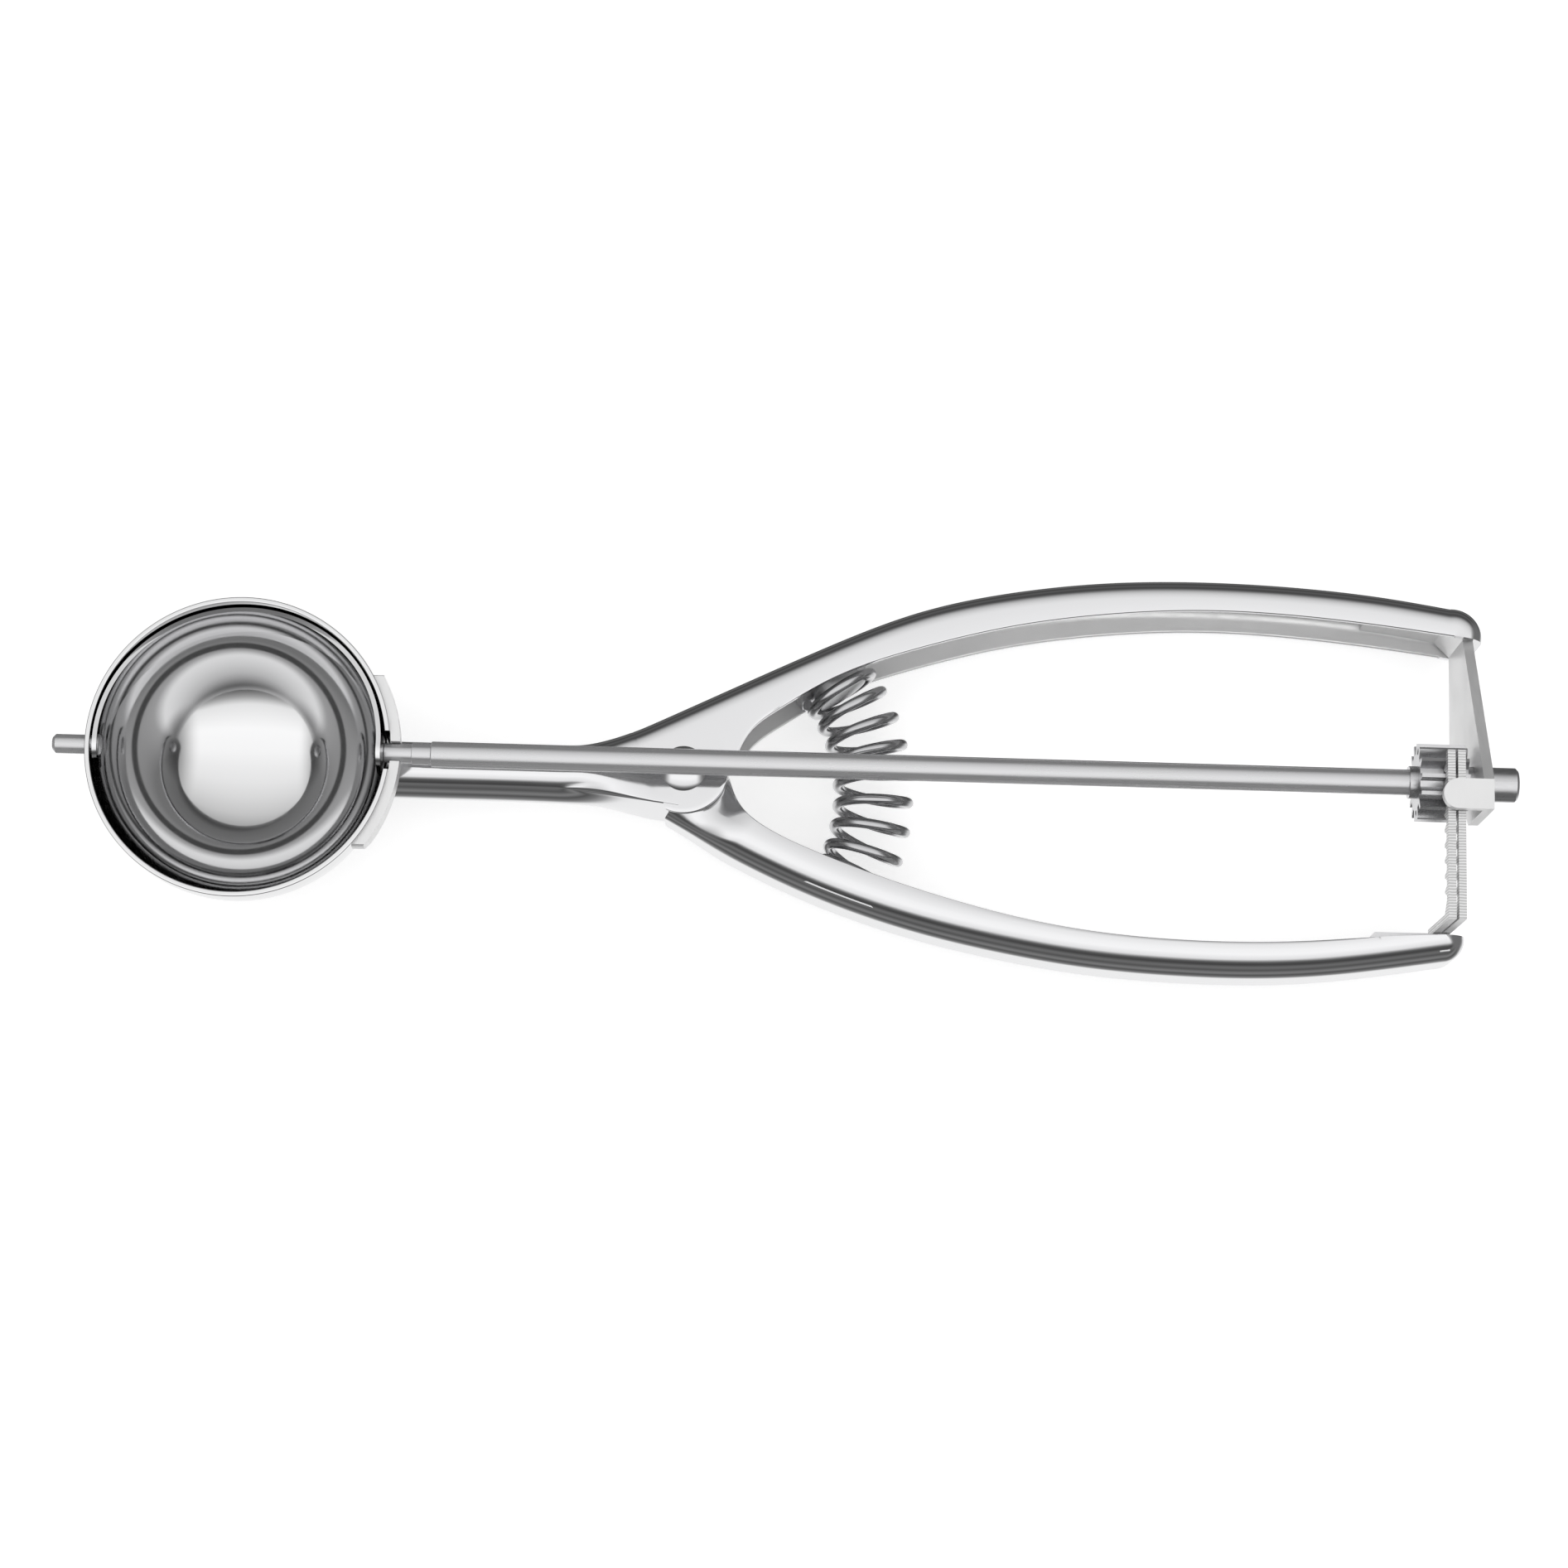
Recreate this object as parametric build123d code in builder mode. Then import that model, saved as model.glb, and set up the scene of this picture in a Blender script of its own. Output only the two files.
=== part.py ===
"""Lever ice cream scoop in stainless steel.

The frame is the scraper's own: +X runs along the drive rod from the bowl to the rear bearing, +Z points out
of the bowl's mouth and +Y towards the fixed handle. The origin is the centre of the bowl's hemisphere, which
lies on the scraper's axis. Squeezing the lever handle turns it about +Z at the pivot, and its two racks turn
the pinion, so that the blade sweeps the inside of the bowl.
"""
from build123d import *
from math import asin, atan2, cos, degrees, pi, radians, sin
import os

os.makedirs("parts", exist_ok=True)

# ---- running gaps
fit_gap = 0.05          # radial clearance of a shaft in its hole
side_gap = 0.3          # clearance between pieces that slide past each other

# ---- bowl and saddle
bowl_radius = 24.2
bowl_wall = 0.8
rim_height = 2.7        # straight wall above the hemisphere
rear_cut_width = 6.2
saddle_thickness = 1.5
saddle_top = 1.8
saddle_north = 12.4     # reach of the saddle's wings along Y
saddle_south = 15.4
saddle_bottom = 17.0
saddle_foot = 4.6
saddle_corner = 2.0

# ---- scraper
blade_thickness = 0.7
blade_width = 8.0
blade_rest_angle = -9.8     # from +Y, about the rod
blade_tab = 3.6             # reach of the blade's ends past the axis
tenon_radius = 1.0
tenon_head_radius = 1.7
tenon_head_height = 0.6
pin_radius = 1.55
pin_reach = 5.4             # of the front pin, the neck and the groove past the bowl
pin_chamfer = 0.5
rod_radius = 2.05
neck_radius = 1.55
neck_reach = 3.3
groove_reach = 6.3
groove_depth = 0.3

# ---- pinion and racks
tooth_module = 0.78
pinion_teeth = 14
tooth_addendum = 0.74
tooth_dedendum = 0.92
tooth_root_width = 1.1
tooth_tip_width = 0.62
rack_tip_half = 0.26
backlash = 0.7
pinion_width = 7.6
pinion_gap = 1.4            # from the pinion's rear to the bearing strap's web
hub_radius = 2.6
hub_length = 1.2
journal_radius = 2.75
journal_reach = 5.5         # how far the journal stands out behind the web
rod_reach = 3.0             # how far the rod reaches into the web and the journal
journal_chamfer = 0.4
rack_thickness = 1.2
rack_inset = 3.7            # from the pinion's front to the front strip
rack_split = 0.4
rack_top = 3.8
rack_depth = 3.3
rack_reach = 4.0            # how far each strip reaches into the lever's channel
rack_step = 1.2             # thickness of the strip's step over the wall's inner edge
rack_fillet = 2.0           # where the strip bends into its step
flank_spread = 0.36         # how far a rack tooth's foot stands out past its pitch line
foot_margin = 0.06
bracket_thickness = 1.6
bracket_length = 12.0
bracket_depth = 5.5

# ---- handles
sheet = 1.3
handle_near = -5.3          # outer face of the walls towards the mouth of the bowl
handle_width = 16.4
handle_corner = 2.6
ear_radius = 7.2
pivot_x = 70.5
fixed_tip = (199.2, 24.9)
lever_tip = (196.3, -23.2)
lever_ear_radius = 6.6
ear_clearance = 0.7         # between the fixed ear's rim and the lever's wall
joggle_width = 2.6
neck_start_angle = -12      # where the lever's ear widens into its wall, about the pivot
neck_end_angle = -110
fixed_tip_bulge = (198.6, 28.2)
lever_tip_bulge = (195.6, -25.8)
mouth_back = 1.0            # how far each pocket's open side starts from the tip
mouth_reach = 6.0           # and how far it stands past it

# ---- shank
shank_half_width = 4.6
shank_half_height = 5.6
shank_wall = 1.2
shank_flare_start = 50.0
shank_flare_end = 61.5

# ---- pivot
rivet_radius = 2.0
rivet_head_radius = 3.65
rivet_head_height = 1.3
sleeve_wall = 1.1

# ---- spring
wire_radius = 0.85
spring_upper_radius = 29.2  # its path's distance from the pivot at each end
spring_lower_radius = 31.9
spring_upper_angle = 34.9
spring_lower_angle = -32.8
spring_turns = 9.5
spigot_radius = 4.3
spigot_length = 2.6
seat_radius = 6.2
seat_corner = 1.0
seat_play = 0.25            # between the end turns and their seats
closed_pitch = 0.35         # pitch of the end turns, as a share of the free turns

# ---- bearing strap
strap_thickness = 1.6
web_inner_face = 196.0
strap_margin = 0.6          # between the strap and each wall of the channel
strap_foot_start = 176.0
bearing_far = -9.5
bearing_low_far = -4.0      # the bearing plate's lower far corner
bearing_shoulder = 9.0      # where the web begins to narrow towards the bearing
bearing_chamfer = 1.5
web_overlap = 5.0           # how far the web's bent end reaches down past the foot
bearing_bottom = -5.9
wing_top = -1.1
wing_lead = 1.0             # how far the wing reaches past the front strip

# ---- values that follow from the sizes above
bowl_inner = bowl_radius - bowl_wall
blade_outer = bowl_inner - side_gap
blade_inner = blade_outer - blade_thickness
saddle_outer = bowl_radius + saddle_thickness
pin_tip = bowl_radius + pin_reach
neck_end = bowl_radius + neck_reach
groove_end = bowl_radius + groove_reach
slot_width = 2 * (neck_radius + fit_gap)
handle_far = handle_near - handle_width
handle_mid = handle_near - handle_width / 2
wall_near = handle_near - sheet
wall_far = handle_far + sheet
ear_near = wall_near - side_gap
ear_far = wall_far + side_gap
strap_near = wall_near - strap_margin
strap_far = wall_far + strap_margin
pitch_radius = tooth_module * pinion_teeth / 2
tooth_pitch = pi * tooth_module
rack_back = pitch_radius - tooth_addendum + rack_depth + side_gap / 2
wing_inner = rack_back + side_gap
web_outer_face = web_inner_face + strap_thickness
rod_end = web_inner_face + rod_reach
journal_end = web_outer_face + journal_reach
pinion_rear = web_inner_face - pinion_gap
pinion_front = pinion_rear - pinion_width
rack_front_face = pinion_front + rack_inset
wing_front = rack_front_face - wing_lead
coil_radius = handle_width / 2 - sheet - wire_radius - side_gap     # mean radius of a turn
web_top = fixed_tip[1] + 0.4
pivot = (pivot_x, 0)
lever_clear = ear_radius + ear_clearance
ear_joggle = lever_clear + joggle_width

# Outer back of each handle and the inner edge of its walls, as points of smooth curves in the XY plane.
fixed_back = [(61, 5.4), (70, 10.0), (80, 15.0), (93.2, 21.4), (108.1, 27.6), (123.2, 31.3),
              (138.4, 33.3), (154, 33.9), (170, 33.4), (184, 32.1), (194, 30.6)]
fixed_edge = [fixed_tip, (184, 26.8), (170, 28.1), (155, 28.6), (138.2, 27.5), (123.1, 25.1),
              (108.2, 21.1), (93.3, 15.2), (86, 10.6), (80.8, 6.2), (79, 2.6)]
lever_back = [(69.2, -8.0), (75.5, -12.0), (81.4, -15.1), (94.5, -20.6), (109.7, -25.2), (121, -27.6),
              (135, -29.7), (150, -30.7), (161, -30.8), (172, -30.2), (183, -28.8), (193, -27.2)]
lever_edge = [lever_tip, (183, -24.0), (171, -25.0), (158, -25.5), (144, -25.1), (130, -23.5),
              (116, -20.5), (102, -16.4), (91, -12.4), (83, -8.6), (79.4, -3.0)]

# Points past those inner edges, from the tip to the ears: each handle's pocket is open up to them.
fixed_mouth = [(fixed_tip[0] - sheet, fixed_tip[1] + mouth_back),
               (fixed_tip[0] - sheet, fixed_tip[1] - mouth_reach),
               (150, 20), (110, 12), (88, 3), (81.5, -5), (81.5, -9), (61.9, -9)]
lever_mouth = [(lever_tip[0] + mouth_reach / 2, lever_tip[1] - 2 * mouth_back),
               (lever_tip[0], lever_tip[1] + mouth_reach), (150, -17), (110, -10), (85, -1), (73, -1)]


def at_angle(angle, radius):
    """A point in the XY plane at an angle and distance from the pivot."""
    return (pivot_x + radius * cos(radians(angle)), radius * sin(radians(angle)))


def inset_points(points, inset, side):
    """Points of a smooth curve moved sideways by inset; side is +1 for left of the direction of travel."""
    curve = Spline(*points, mode=Mode.PRIVATE)
    count = 2 * len(points)
    moved = []
    for i in range(count + 1):
        at, along = curve @ (i / count), curve % (i / count)
        moved.append((at.X - side * inset * along.Y, at.Y + side * inset * along.X))
    return moved


# ---- bowl: a hemisphere with a short straight wall, a hole for the front pin and a cut for the rod
with BuildPart() as bowl:
    with BuildSketch(Plane.XZ):
        with BuildLine():
            Line((0, -bowl_inner), (0, -bowl_radius))
            RadiusArc((0, -bowl_radius), (bowl_radius, 0), -bowl_radius)
            Line((bowl_radius, 0), (bowl_radius, rim_height))
            Line((bowl_radius, rim_height), (bowl_inner, rim_height))
            Line((bowl_inner, rim_height), (bowl_inner, 0))
            RadiusArc((bowl_inner, 0), (0, -bowl_inner), bowl_inner)
        make_face()
    revolve(axis=Axis.Z)
    with BuildSketch(Plane.YZ):
        Circle(pin_radius + fit_gap)
    extrude(amount=-(bowl_radius + 1), mode=Mode.SUBTRACT)
    with BuildSketch(Plane.YZ):
        Circle(rear_cut_width / 2)
        with Locations((0, rim_height)):
            Rectangle(rear_cut_width, 2 * rim_height)
    extrude(amount=bowl_radius + 1, mode=Mode.SUBTRACT)
bowl.part.label = "bowl"
export_step(bowl.part, "parts/bowl.step")

# ---- saddle: a band welded round the back of the bowl, slotted for the rod's neck
with BuildPart() as saddle_shell:
    with BuildSketch(Plane.XZ):
        with BuildLine():
            Line((0, -bowl_radius), (0, -saddle_outer))
            RadiusArc((0, -saddle_outer), (saddle_outer, 0), -saddle_outer)
            Line((saddle_outer, 0), (saddle_outer, saddle_top))
            Line((saddle_outer, saddle_top), (bowl_radius, saddle_top))
            Line((bowl_radius, saddle_top), (bowl_radius, 0))
            RadiusArc((bowl_radius, 0), (0, -bowl_radius), bowl_radius)
        make_face()
    revolve(axis=Axis.Z)

with BuildPart() as bowl_saddle:
    with BuildSketch(Plane.YZ) as saddle_outline:
        with BuildLine():
            Polyline((saddle_north, saddle_top + 1), (saddle_north, -1.5), (saddle_foot, -saddle_bottom),
                     (-saddle_foot, -saddle_bottom), (-saddle_south, -1.5), (-saddle_south, saddle_top + 1),
                     close=True)
        make_face()
        fillet(saddle_outline.vertices().group_by(Axis.Z)[0:2], saddle_corner)
    extrude(amount=saddle_outer + 1)
    add(saddle_shell.part, mode=Mode.INTERSECT)
    with BuildSketch(Plane.YZ):
        Circle(slot_width / 2)
        with Locations((0, saddle_top)):
            Rectangle(slot_width, 2 * saddle_top)
    extrude(amount=saddle_outer + 1, mode=Mode.SUBTRACT)
bowl_saddle.part.label = "bowl_saddle"
export_step(bowl_saddle.part, "parts/bowl_saddle.step")

# ---- scraper blade: a strip of a sphere just inside the bowl, with a hole at each end
blade_plane = Plane(origin=(0, 0, 0), x_dir=(1, 0, 0),
                    z_dir=(0, -sin(radians(blade_rest_angle)), cos(radians(blade_rest_angle))))
with BuildPart() as scraper_blade:
    with BuildSketch(blade_plane) as blade_outline:
        Circle(blade_outer + 1)
        with Locations((0, -bowl_radius - blade_tab)):
            Rectangle(4 * bowl_radius, 2 * bowl_radius, mode=Mode.SUBTRACT)
    extrude(amount=blade_width / 2, both=True)
    Sphere(blade_outer, mode=Mode.INTERSECT)
    Sphere(blade_inner, mode=Mode.SUBTRACT)
    with BuildSketch(Plane.YZ):
        Circle(tenon_radius)
    extrude(amount=bowl_radius, both=True, mode=Mode.SUBTRACT)
scraper_blade.part.label = "scraper_blade"
export_step(scraper_blade.part, "parts/scraper_blade.step")


def shaft(stations, centre_x=0.0, direction=1):
    """A turned piece on the rod's axis: (x, radius) corners, carried along +X or -X."""
    with BuildPart() as turned:
        with BuildSketch(Plane.XZ):
            with BuildLine():
                corners = [(centre_x + direction * x, r) for x, r in stations]
                first, last = corners[0][0], corners[-1][0]
                Polyline((first, 0), *corners, (last, 0), close=True)
            make_face()
        revolve(axis=Axis.X)
    return turned.part


head_seat = (blade_inner ** 2 - tenon_head_radius ** 2) ** 0.5     # where the head meets the blade's curve
tenon_start = head_seat - tenon_head_height

# ---- front pin: riveted to the blade, turning in the bowl's hole, with a free tip
with BuildPart() as front_pin:
    add(shaft([(tenon_start, tenon_head_radius - 0.4), (tenon_start + 0.3, tenon_head_radius),
               (head_seat, tenon_head_radius), (head_seat, tenon_radius), (blade_outer, tenon_radius),
               (blade_outer, pin_radius), (pin_tip - pin_chamfer, pin_radius),
               (pin_tip, pin_radius - pin_chamfer)], direction=-1))
front_pin.part.label = "front_pin"
export_step(front_pin.part, "parts/front_pin.step")

# ---- drive rod: tenon, neck in the saddle's slot, shallow groove and the long plain rod
with BuildPart() as drive_rod:
    add(shaft([(tenon_start, tenon_head_radius - 0.4), (tenon_start + 0.3, tenon_head_radius),
               (head_seat, tenon_head_radius), (head_seat, tenon_radius), (blade_outer, tenon_radius),
               (blade_outer, neck_radius), (neck_end, neck_radius),
               (neck_end, rod_radius - groove_depth), (groove_end, rod_radius - groove_depth),
               (groove_end, rod_radius), (rod_end, rod_radius)]))
drive_rod.part.label = "drive_rod"
export_step(drive_rod.part, "parts/drive_rod.step")


# ---- pinion: spur teeth on the rod's end, with a hub in front and the rear journal behind
root_radius = pitch_radius - tooth_dedendum
tip_radius = pitch_radius + tooth_addendum
tooth_root_half = asin(tooth_root_width / 2 / root_radius)
tooth_pitch_half = (tooth_pitch / 2 - backlash / 2) / 2 / pitch_radius
tooth_tip_half = asin(tooth_tip_width / 2 / tip_radius)


def polar(radius, angle):
    """A point (y, z) around the rod's axis; angle in radians from +Z."""
    return (radius * sin(angle), radius * cos(angle))


with BuildPart() as pinion:
    with BuildSketch(Plane.YZ.offset(pinion_front)):
        Circle(root_radius)
        for i in range(pinion_teeth):
            middle = 2 * pi * i / pinion_teeth
            with BuildLine():
                Polyline(polar(root_radius - 0.3, middle - tooth_root_half),
                         polar(root_radius, middle - tooth_root_half),
                         polar(pitch_radius, middle - tooth_pitch_half),
                         polar(tip_radius, middle - tooth_tip_half),
                         polar(tip_radius, middle + tooth_tip_half),
                         polar(pitch_radius, middle + tooth_pitch_half),
                         polar(root_radius, middle + tooth_root_half),
                         polar(root_radius - 0.3, middle + tooth_root_half), close=True)
            make_face()
    extrude(amount=pinion_rear - pinion_front)
    add(shaft([(pinion_front - hub_length, hub_radius), (pinion_front + 1, hub_radius)]))
    add(shaft([(pinion_rear - 1, journal_radius), (journal_end - journal_chamfer, journal_radius),
               (journal_end, journal_radius - journal_chamfer)]))
    add(shaft([(pinion_front - hub_length, rod_radius), (rod_end, rod_radius)]), mode=Mode.SUBTRACT)
pinion.part.label = "pinion"
export_step(pinion.part, "parts/pinion.step")


# ---- handles: folded sheet, open towards each other
def side_profile(back, edge, tip_bulge, front):
    """The closed outline of a handle's wall: the back curve, the rounded tip, the inner edge and the ear."""
    with BuildLine() as outline:
        Spline(*back)
        ThreePointArc(back[-1], tip_bulge, edge[0])
        Spline(*edge)
        front(edge[-1], back[0])
    return outline.line


def fixed_front(start, end):
    """The ear round the pivot and the step down to the shank."""
    ear_in = at_angle(degrees(asin(start[1] / ear_radius)) - 4, ear_radius)
    ear_out = at_angle(-130, ear_radius)
    Line(start, ear_in)
    ThreePointArc(ear_in, at_angle(-60, ear_radius), ear_out)
    Polyline(ear_out, (end[0], -shank_half_width), end)


def lever_front(start, end):
    """The edge that runs round the fixed handle's ear."""
    near_start = at_angle(degrees(atan2(start[1], start[0] - pivot_x)), lever_clear)
    near_end = at_angle(degrees(atan2(end[1], end[0] - pivot_x)), lever_clear)
    Line(start, near_start)
    ThreePointArc(near_start, at_angle(-55, lever_clear), near_end)
    Line(near_end, end)


def pocket_profile(back, side, open_points):
    """The space inside a handle: one sheet in from the back, open past the walls' inner edges."""
    inner = inset_points(back, sheet, side)
    with BuildLine() as outline:
        Spline(*inner)
        Polyline(inner[-1], *open_points, inner[0])
    return outline.line


def outer_edges(handle, side):
    """The edges round a handle's back and tip; side is +1 for the handle towards +Y."""
    flat = [e for e in handle.edges() if abs((e @ 0).Z - (e @ 1).Z) < 0.01]
    long_ones = [e for e in flat if e.length > 0.9 * (fixed_tip[0] - pivot_x)]
    backs = sorted(long_ones, key=lambda e: -side * (e @ 0.5).Y)[:2]
    tips = [e for e in flat if handle_corner < e.length < 4 * handle_corner
            and (e @ 0.5).X > lever_tip[0] - 2 * handle_corner]
    return backs + tips


fixed_wall = side_profile(fixed_back, fixed_edge, fixed_tip_bulge, fixed_front)
fixed_pocket = pocket_profile(fixed_back, -1, fixed_mouth)

with BuildPart() as fixed_handle:
    with BuildSketch(Plane.XY.offset(handle_far)):
        make_face(fixed_wall)
    extrude(amount=handle_width)
    fillet(outer_edges(fixed_handle, 1), handle_corner)
    with BuildSketch(Plane.YZ.offset(shank_flare_start)):
        with Locations((0, handle_mid)):
            Ellipse(shank_half_width, shank_half_height)
    with BuildSketch(Plane.YZ.offset(shank_flare_end)):
        with Locations(((fixed_back[0][1] - shank_half_width) / 2, handle_mid)):
            Ellipse((fixed_back[0][1] + shank_half_width) / 2 - 0.1, handle_width / 2 - 0.1)
    loft()
    with BuildSketch(Plane.YZ.offset(bowl_radius * 0.7)):
        with Locations((0, handle_mid)):
            Ellipse(shank_half_width, shank_half_height)
    extrude(until=Until.NEXT)
    with BuildSketch(Plane.YZ):
        with Locations((0, handle_mid)):
            Ellipse(shank_half_width - shank_wall, shank_half_height - shank_wall)
    extrude(amount=fixed_back[0][0] + 2, mode=Mode.SUBTRACT)
    with BuildSketch(Plane.XY.offset(wall_far)):
        make_face(fixed_pocket)
    extrude(amount=wall_near - wall_far, mode=Mode.SUBTRACT)
    Sphere(saddle_outer, mode=Mode.SUBTRACT)
    with Locations((pivot_x, 0, handle_mid)):
        Cylinder(rivet_radius, handle_width + 2, mode=Mode.SUBTRACT)
fixed_handle.part.label = "fixed_handle"
export_step(fixed_handle.part, "parts/fixed_handle.step")

# ---- lever handle: the same channel, with ears that step in between the fixed handle's walls
lever_wall = side_profile(lever_back, lever_edge, lever_tip_bulge, lever_front)
lever_pocket = pocket_profile(lever_back, 1, lever_mouth)

with BuildPart() as lever_handle:
    with BuildSketch(Plane.XY.offset(handle_far)):
        make_face(lever_wall)
    extrude(amount=handle_width)
    fillet(outer_edges(lever_handle, -1), handle_corner)
    with BuildSketch(Plane.XY.offset(wall_far)):
        make_face(lever_pocket)
    extrude(amount=wall_near - wall_far, mode=Mode.SUBTRACT)
    for outer, direction in ((ear_near, -1), (ear_far, 1)):
        with BuildSketch(Plane.XY.offset(outer)):
            with Locations(pivot):
                Circle(lever_ear_radius)
            with BuildLine():
                Polyline(at_angle(neck_start_angle, lever_ear_radius),
                         at_angle(neck_start_angle - 10, ear_joggle),
                         at_angle(neck_start_angle - 50, ear_joggle),
                         at_angle(neck_end_angle + 10, lever_clear + side_gap),
                         at_angle(neck_end_angle, lever_ear_radius), close=True)
            make_face()
        extrude(amount=direction * sheet)
        with BuildSketch(Plane.XY.offset(outer + direction * sheet)) as joggle_zone:
            with Locations(pivot):
                Circle(ear_joggle)
                Circle(lever_clear, mode=Mode.SUBTRACT)
            make_face(lever_wall, mode=Mode.INTERSECT)
        extrude(amount=-direction * (2 * sheet + side_gap))
    with Locations((pivot_x, 0, handle_mid)):
        Cylinder(rivet_radius + fit_gap, handle_width + 2, mode=Mode.SUBTRACT)
lever_handle.part.label = "lever_handle"
export_step(lever_handle.part, "parts/lever_handle.step")

# ---- pivot: a rivet through all four walls and a sleeve between the lever's ears
with BuildPart() as pivot_rivet:
    with Locations((pivot_x, 0, handle_mid)):
        Cylinder(rivet_radius, handle_width)
    for face, direction in ((handle_near, 1), (handle_far, -1)):
        dome = (rivet_head_radius ** 2 + rivet_head_height ** 2) / (2 * rivet_head_height)
        with BuildSketch(Plane(origin=(pivot_x, 0, face), x_dir=(1, 0, 0), z_dir=(0, -direction, 0))):
            with BuildLine():
                Polyline((0, rivet_head_height), (0, 0), (rivet_head_radius, 0))
                RadiusArc((rivet_head_radius, 0), (0, rivet_head_height), -dome)
            make_face()
        revolve(axis=Axis((pivot_x, 0, face), (0, 0, 1)))
pivot_rivet.part.label = "pivot_rivet"
export_step(pivot_rivet.part, "parts/pivot_rivet.step")

with BuildPart() as pivot_sleeve:
    with Locations((pivot_x, 0, handle_mid)):
        Cylinder(rivet_radius + fit_gap + sleeve_wall, ear_near - ear_far - 2 * sheet)
        Cylinder(rivet_radius + fit_gap, handle_width, mode=Mode.SUBTRACT)
pivot_sleeve.part.label = "pivot_sleeve"
export_step(pivot_sleeve.part, "parts/pivot_sleeve.step")

# ---- spring seats: a plug in each channel, its spigot inside the last turn of the spring
def spring_seat(angle, radius, side, pocket):
    """A plug shaped to the channel's inner back; side is +1 for the seat towards +Y."""
    centre = at_angle(angle, radius)
    outward = (-side * sin(radians(angle)), side * cos(radians(angle)), 0)
    seat_plane = Plane(origin=(*centre, handle_mid), x_dir=(0, 0, 1), z_dir=outward)
    with BuildPart() as seat:
        with BuildSketch(seat_plane):
            RectangleRounded(wall_near - wall_far, 2 * seat_radius, seat_corner)
        extrude(amount=2 * seat_radius)
        with BuildSketch(Plane.XY.offset(wall_far)):
            make_face(pocket)
        extrude(amount=wall_near - wall_far, mode=Mode.INTERSECT)
        with BuildSketch(seat_plane):
            Circle(spigot_radius)
        extrude(amount=-spigot_length)
    return seat.part


for name, angle, radius, side, pocket in (
        ("spring_seat_upper", spring_upper_angle, spring_upper_radius, 1, fixed_pocket),
        ("spring_seat_lower", spring_lower_angle, spring_lower_radius, -1, lever_pocket)):
    seat = spring_seat(angle, radius, side, pocket)
    seat.label = name
    export_step(seat, f"parts/{name}.step")

# ---- return spring: a compression spring bent round the pivot, its end turns closed up
steps_per_turn = 12
end_room = wire_radius + seat_play
arc_start = spring_lower_angle + degrees(end_room / spring_lower_radius)
arc_span = spring_upper_angle - degrees(end_room / spring_upper_radius) - arc_start
spring_steps = round(spring_turns * steps_per_turn)
step_pitch = []
for step in range(spring_steps):
    turns_from_end = min(step + 0.5, spring_steps - step - 0.5) / steps_per_turn
    step_pitch.append(min(1.0, max(closed_pitch, closed_pitch + turns_from_end - 0.6)))


def spring_point(step):
    """A point on the wire's centre line, from the lower end to the upper."""
    turn = 2 * pi * step / steps_per_turn
    share = sum(step_pitch[:step]) / sum(step_pitch)
    path_radius = spring_lower_radius + (spring_upper_radius - spring_lower_radius) * share
    radius = path_radius + coil_radius * cos(turn)
    x, y = at_angle(arc_start + arc_span * share, radius)
    return (x, y, handle_mid - coil_radius * sin(turn))


with BuildPart() as return_spring:
    with BuildLine() as wire:
        Spline(*[spring_point(i) for i in range(spring_steps + 1)])
    with BuildSketch(Plane(origin=wire.line @ 0, z_dir=wire.line % 0)):
        Circle(wire_radius)
    sweep(path=wire.line, is_frenet=True)
return_spring.part.label = "return_spring"
export_step(return_spring.part, "parts/return_spring.step")

# ---- bearing strap: a foot inside the fixed handle's back, a web across the rod and a wing over the racks
with BuildPart() as bearing_strap:
    with BuildSketch(Plane.XY.offset(strap_far)):
        with BuildLine():
            outer_side = [p for p in inset_points(fixed_back, sheet, -1) if p[0] > strap_foot_start]
            inner_side = [p for p in inset_points(fixed_back, sheet + strap_thickness, -1)
                          if p[0] > strap_foot_start]
            Spline(*outer_side)
            Polyline(outer_side[-1], (web_outer_face, fixed_tip[1] + mouth_back),
                     (web_outer_face, web_top - web_overlap),
                     (web_inner_face, web_top - web_overlap), (web_inner_face, web_top), inner_side[-1])
            Spline(*reversed(inner_side))
            Line(inner_side[0], outer_side[0])
        make_face()
    extrude(amount=strap_near - strap_far)
    with BuildSketch(Plane.YZ.offset(web_inner_face)):
        with BuildLine():
            Polyline((web_top, strap_near), (web_top, strap_far), (bearing_shoulder, strap_far),
                     (bearing_shoulder - bearing_chamfer, bearing_far), (0, bearing_far),
                     (bearing_bottom, bearing_low_far), (bearing_bottom, wing_inner + strap_thickness),
                     (wing_top, wing_inner + strap_thickness), close=True)
        make_face()
        Circle(journal_radius + fit_gap, mode=Mode.SUBTRACT)
    extrude(amount=strap_thickness)
    wing_height = wing_top - bearing_bottom
    with BuildSketch(Plane.XY.offset(wing_inner)):
        with BuildLine():
            Polyline((wing_front + wing_height / 2, wing_top), (web_outer_face, wing_top),
                     (web_outer_face, bearing_bottom), (wing_front + wing_height / 2, bearing_bottom))
            ThreePointArc((wing_front + wing_height / 2, bearing_bottom),
                          (wing_front, (wing_top + bearing_bottom) / 2),
                          (wing_front + wing_height / 2, wing_top))
        make_face()
    extrude(amount=strap_thickness)
bearing_strap.part.label = "bearing_strap"
export_step(bearing_strap.part, "parts/bearing_strap.step")


# ---- racks: two toothed strips side by side, standing on feet welded in the lever's channel
rack_mesh_z = pitch_radius
rack_tip_z = pitch_radius - tooth_addendum
rack_root_z = pitch_radius + tooth_dedendum
rack_tooth_half = (tooth_pitch / 2 - backlash / 2) / 2
foot_under = lever_tip[1] + 0.1        # underside of the step over the wall's inner edge
foot_top = foot_under + rack_step


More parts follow.
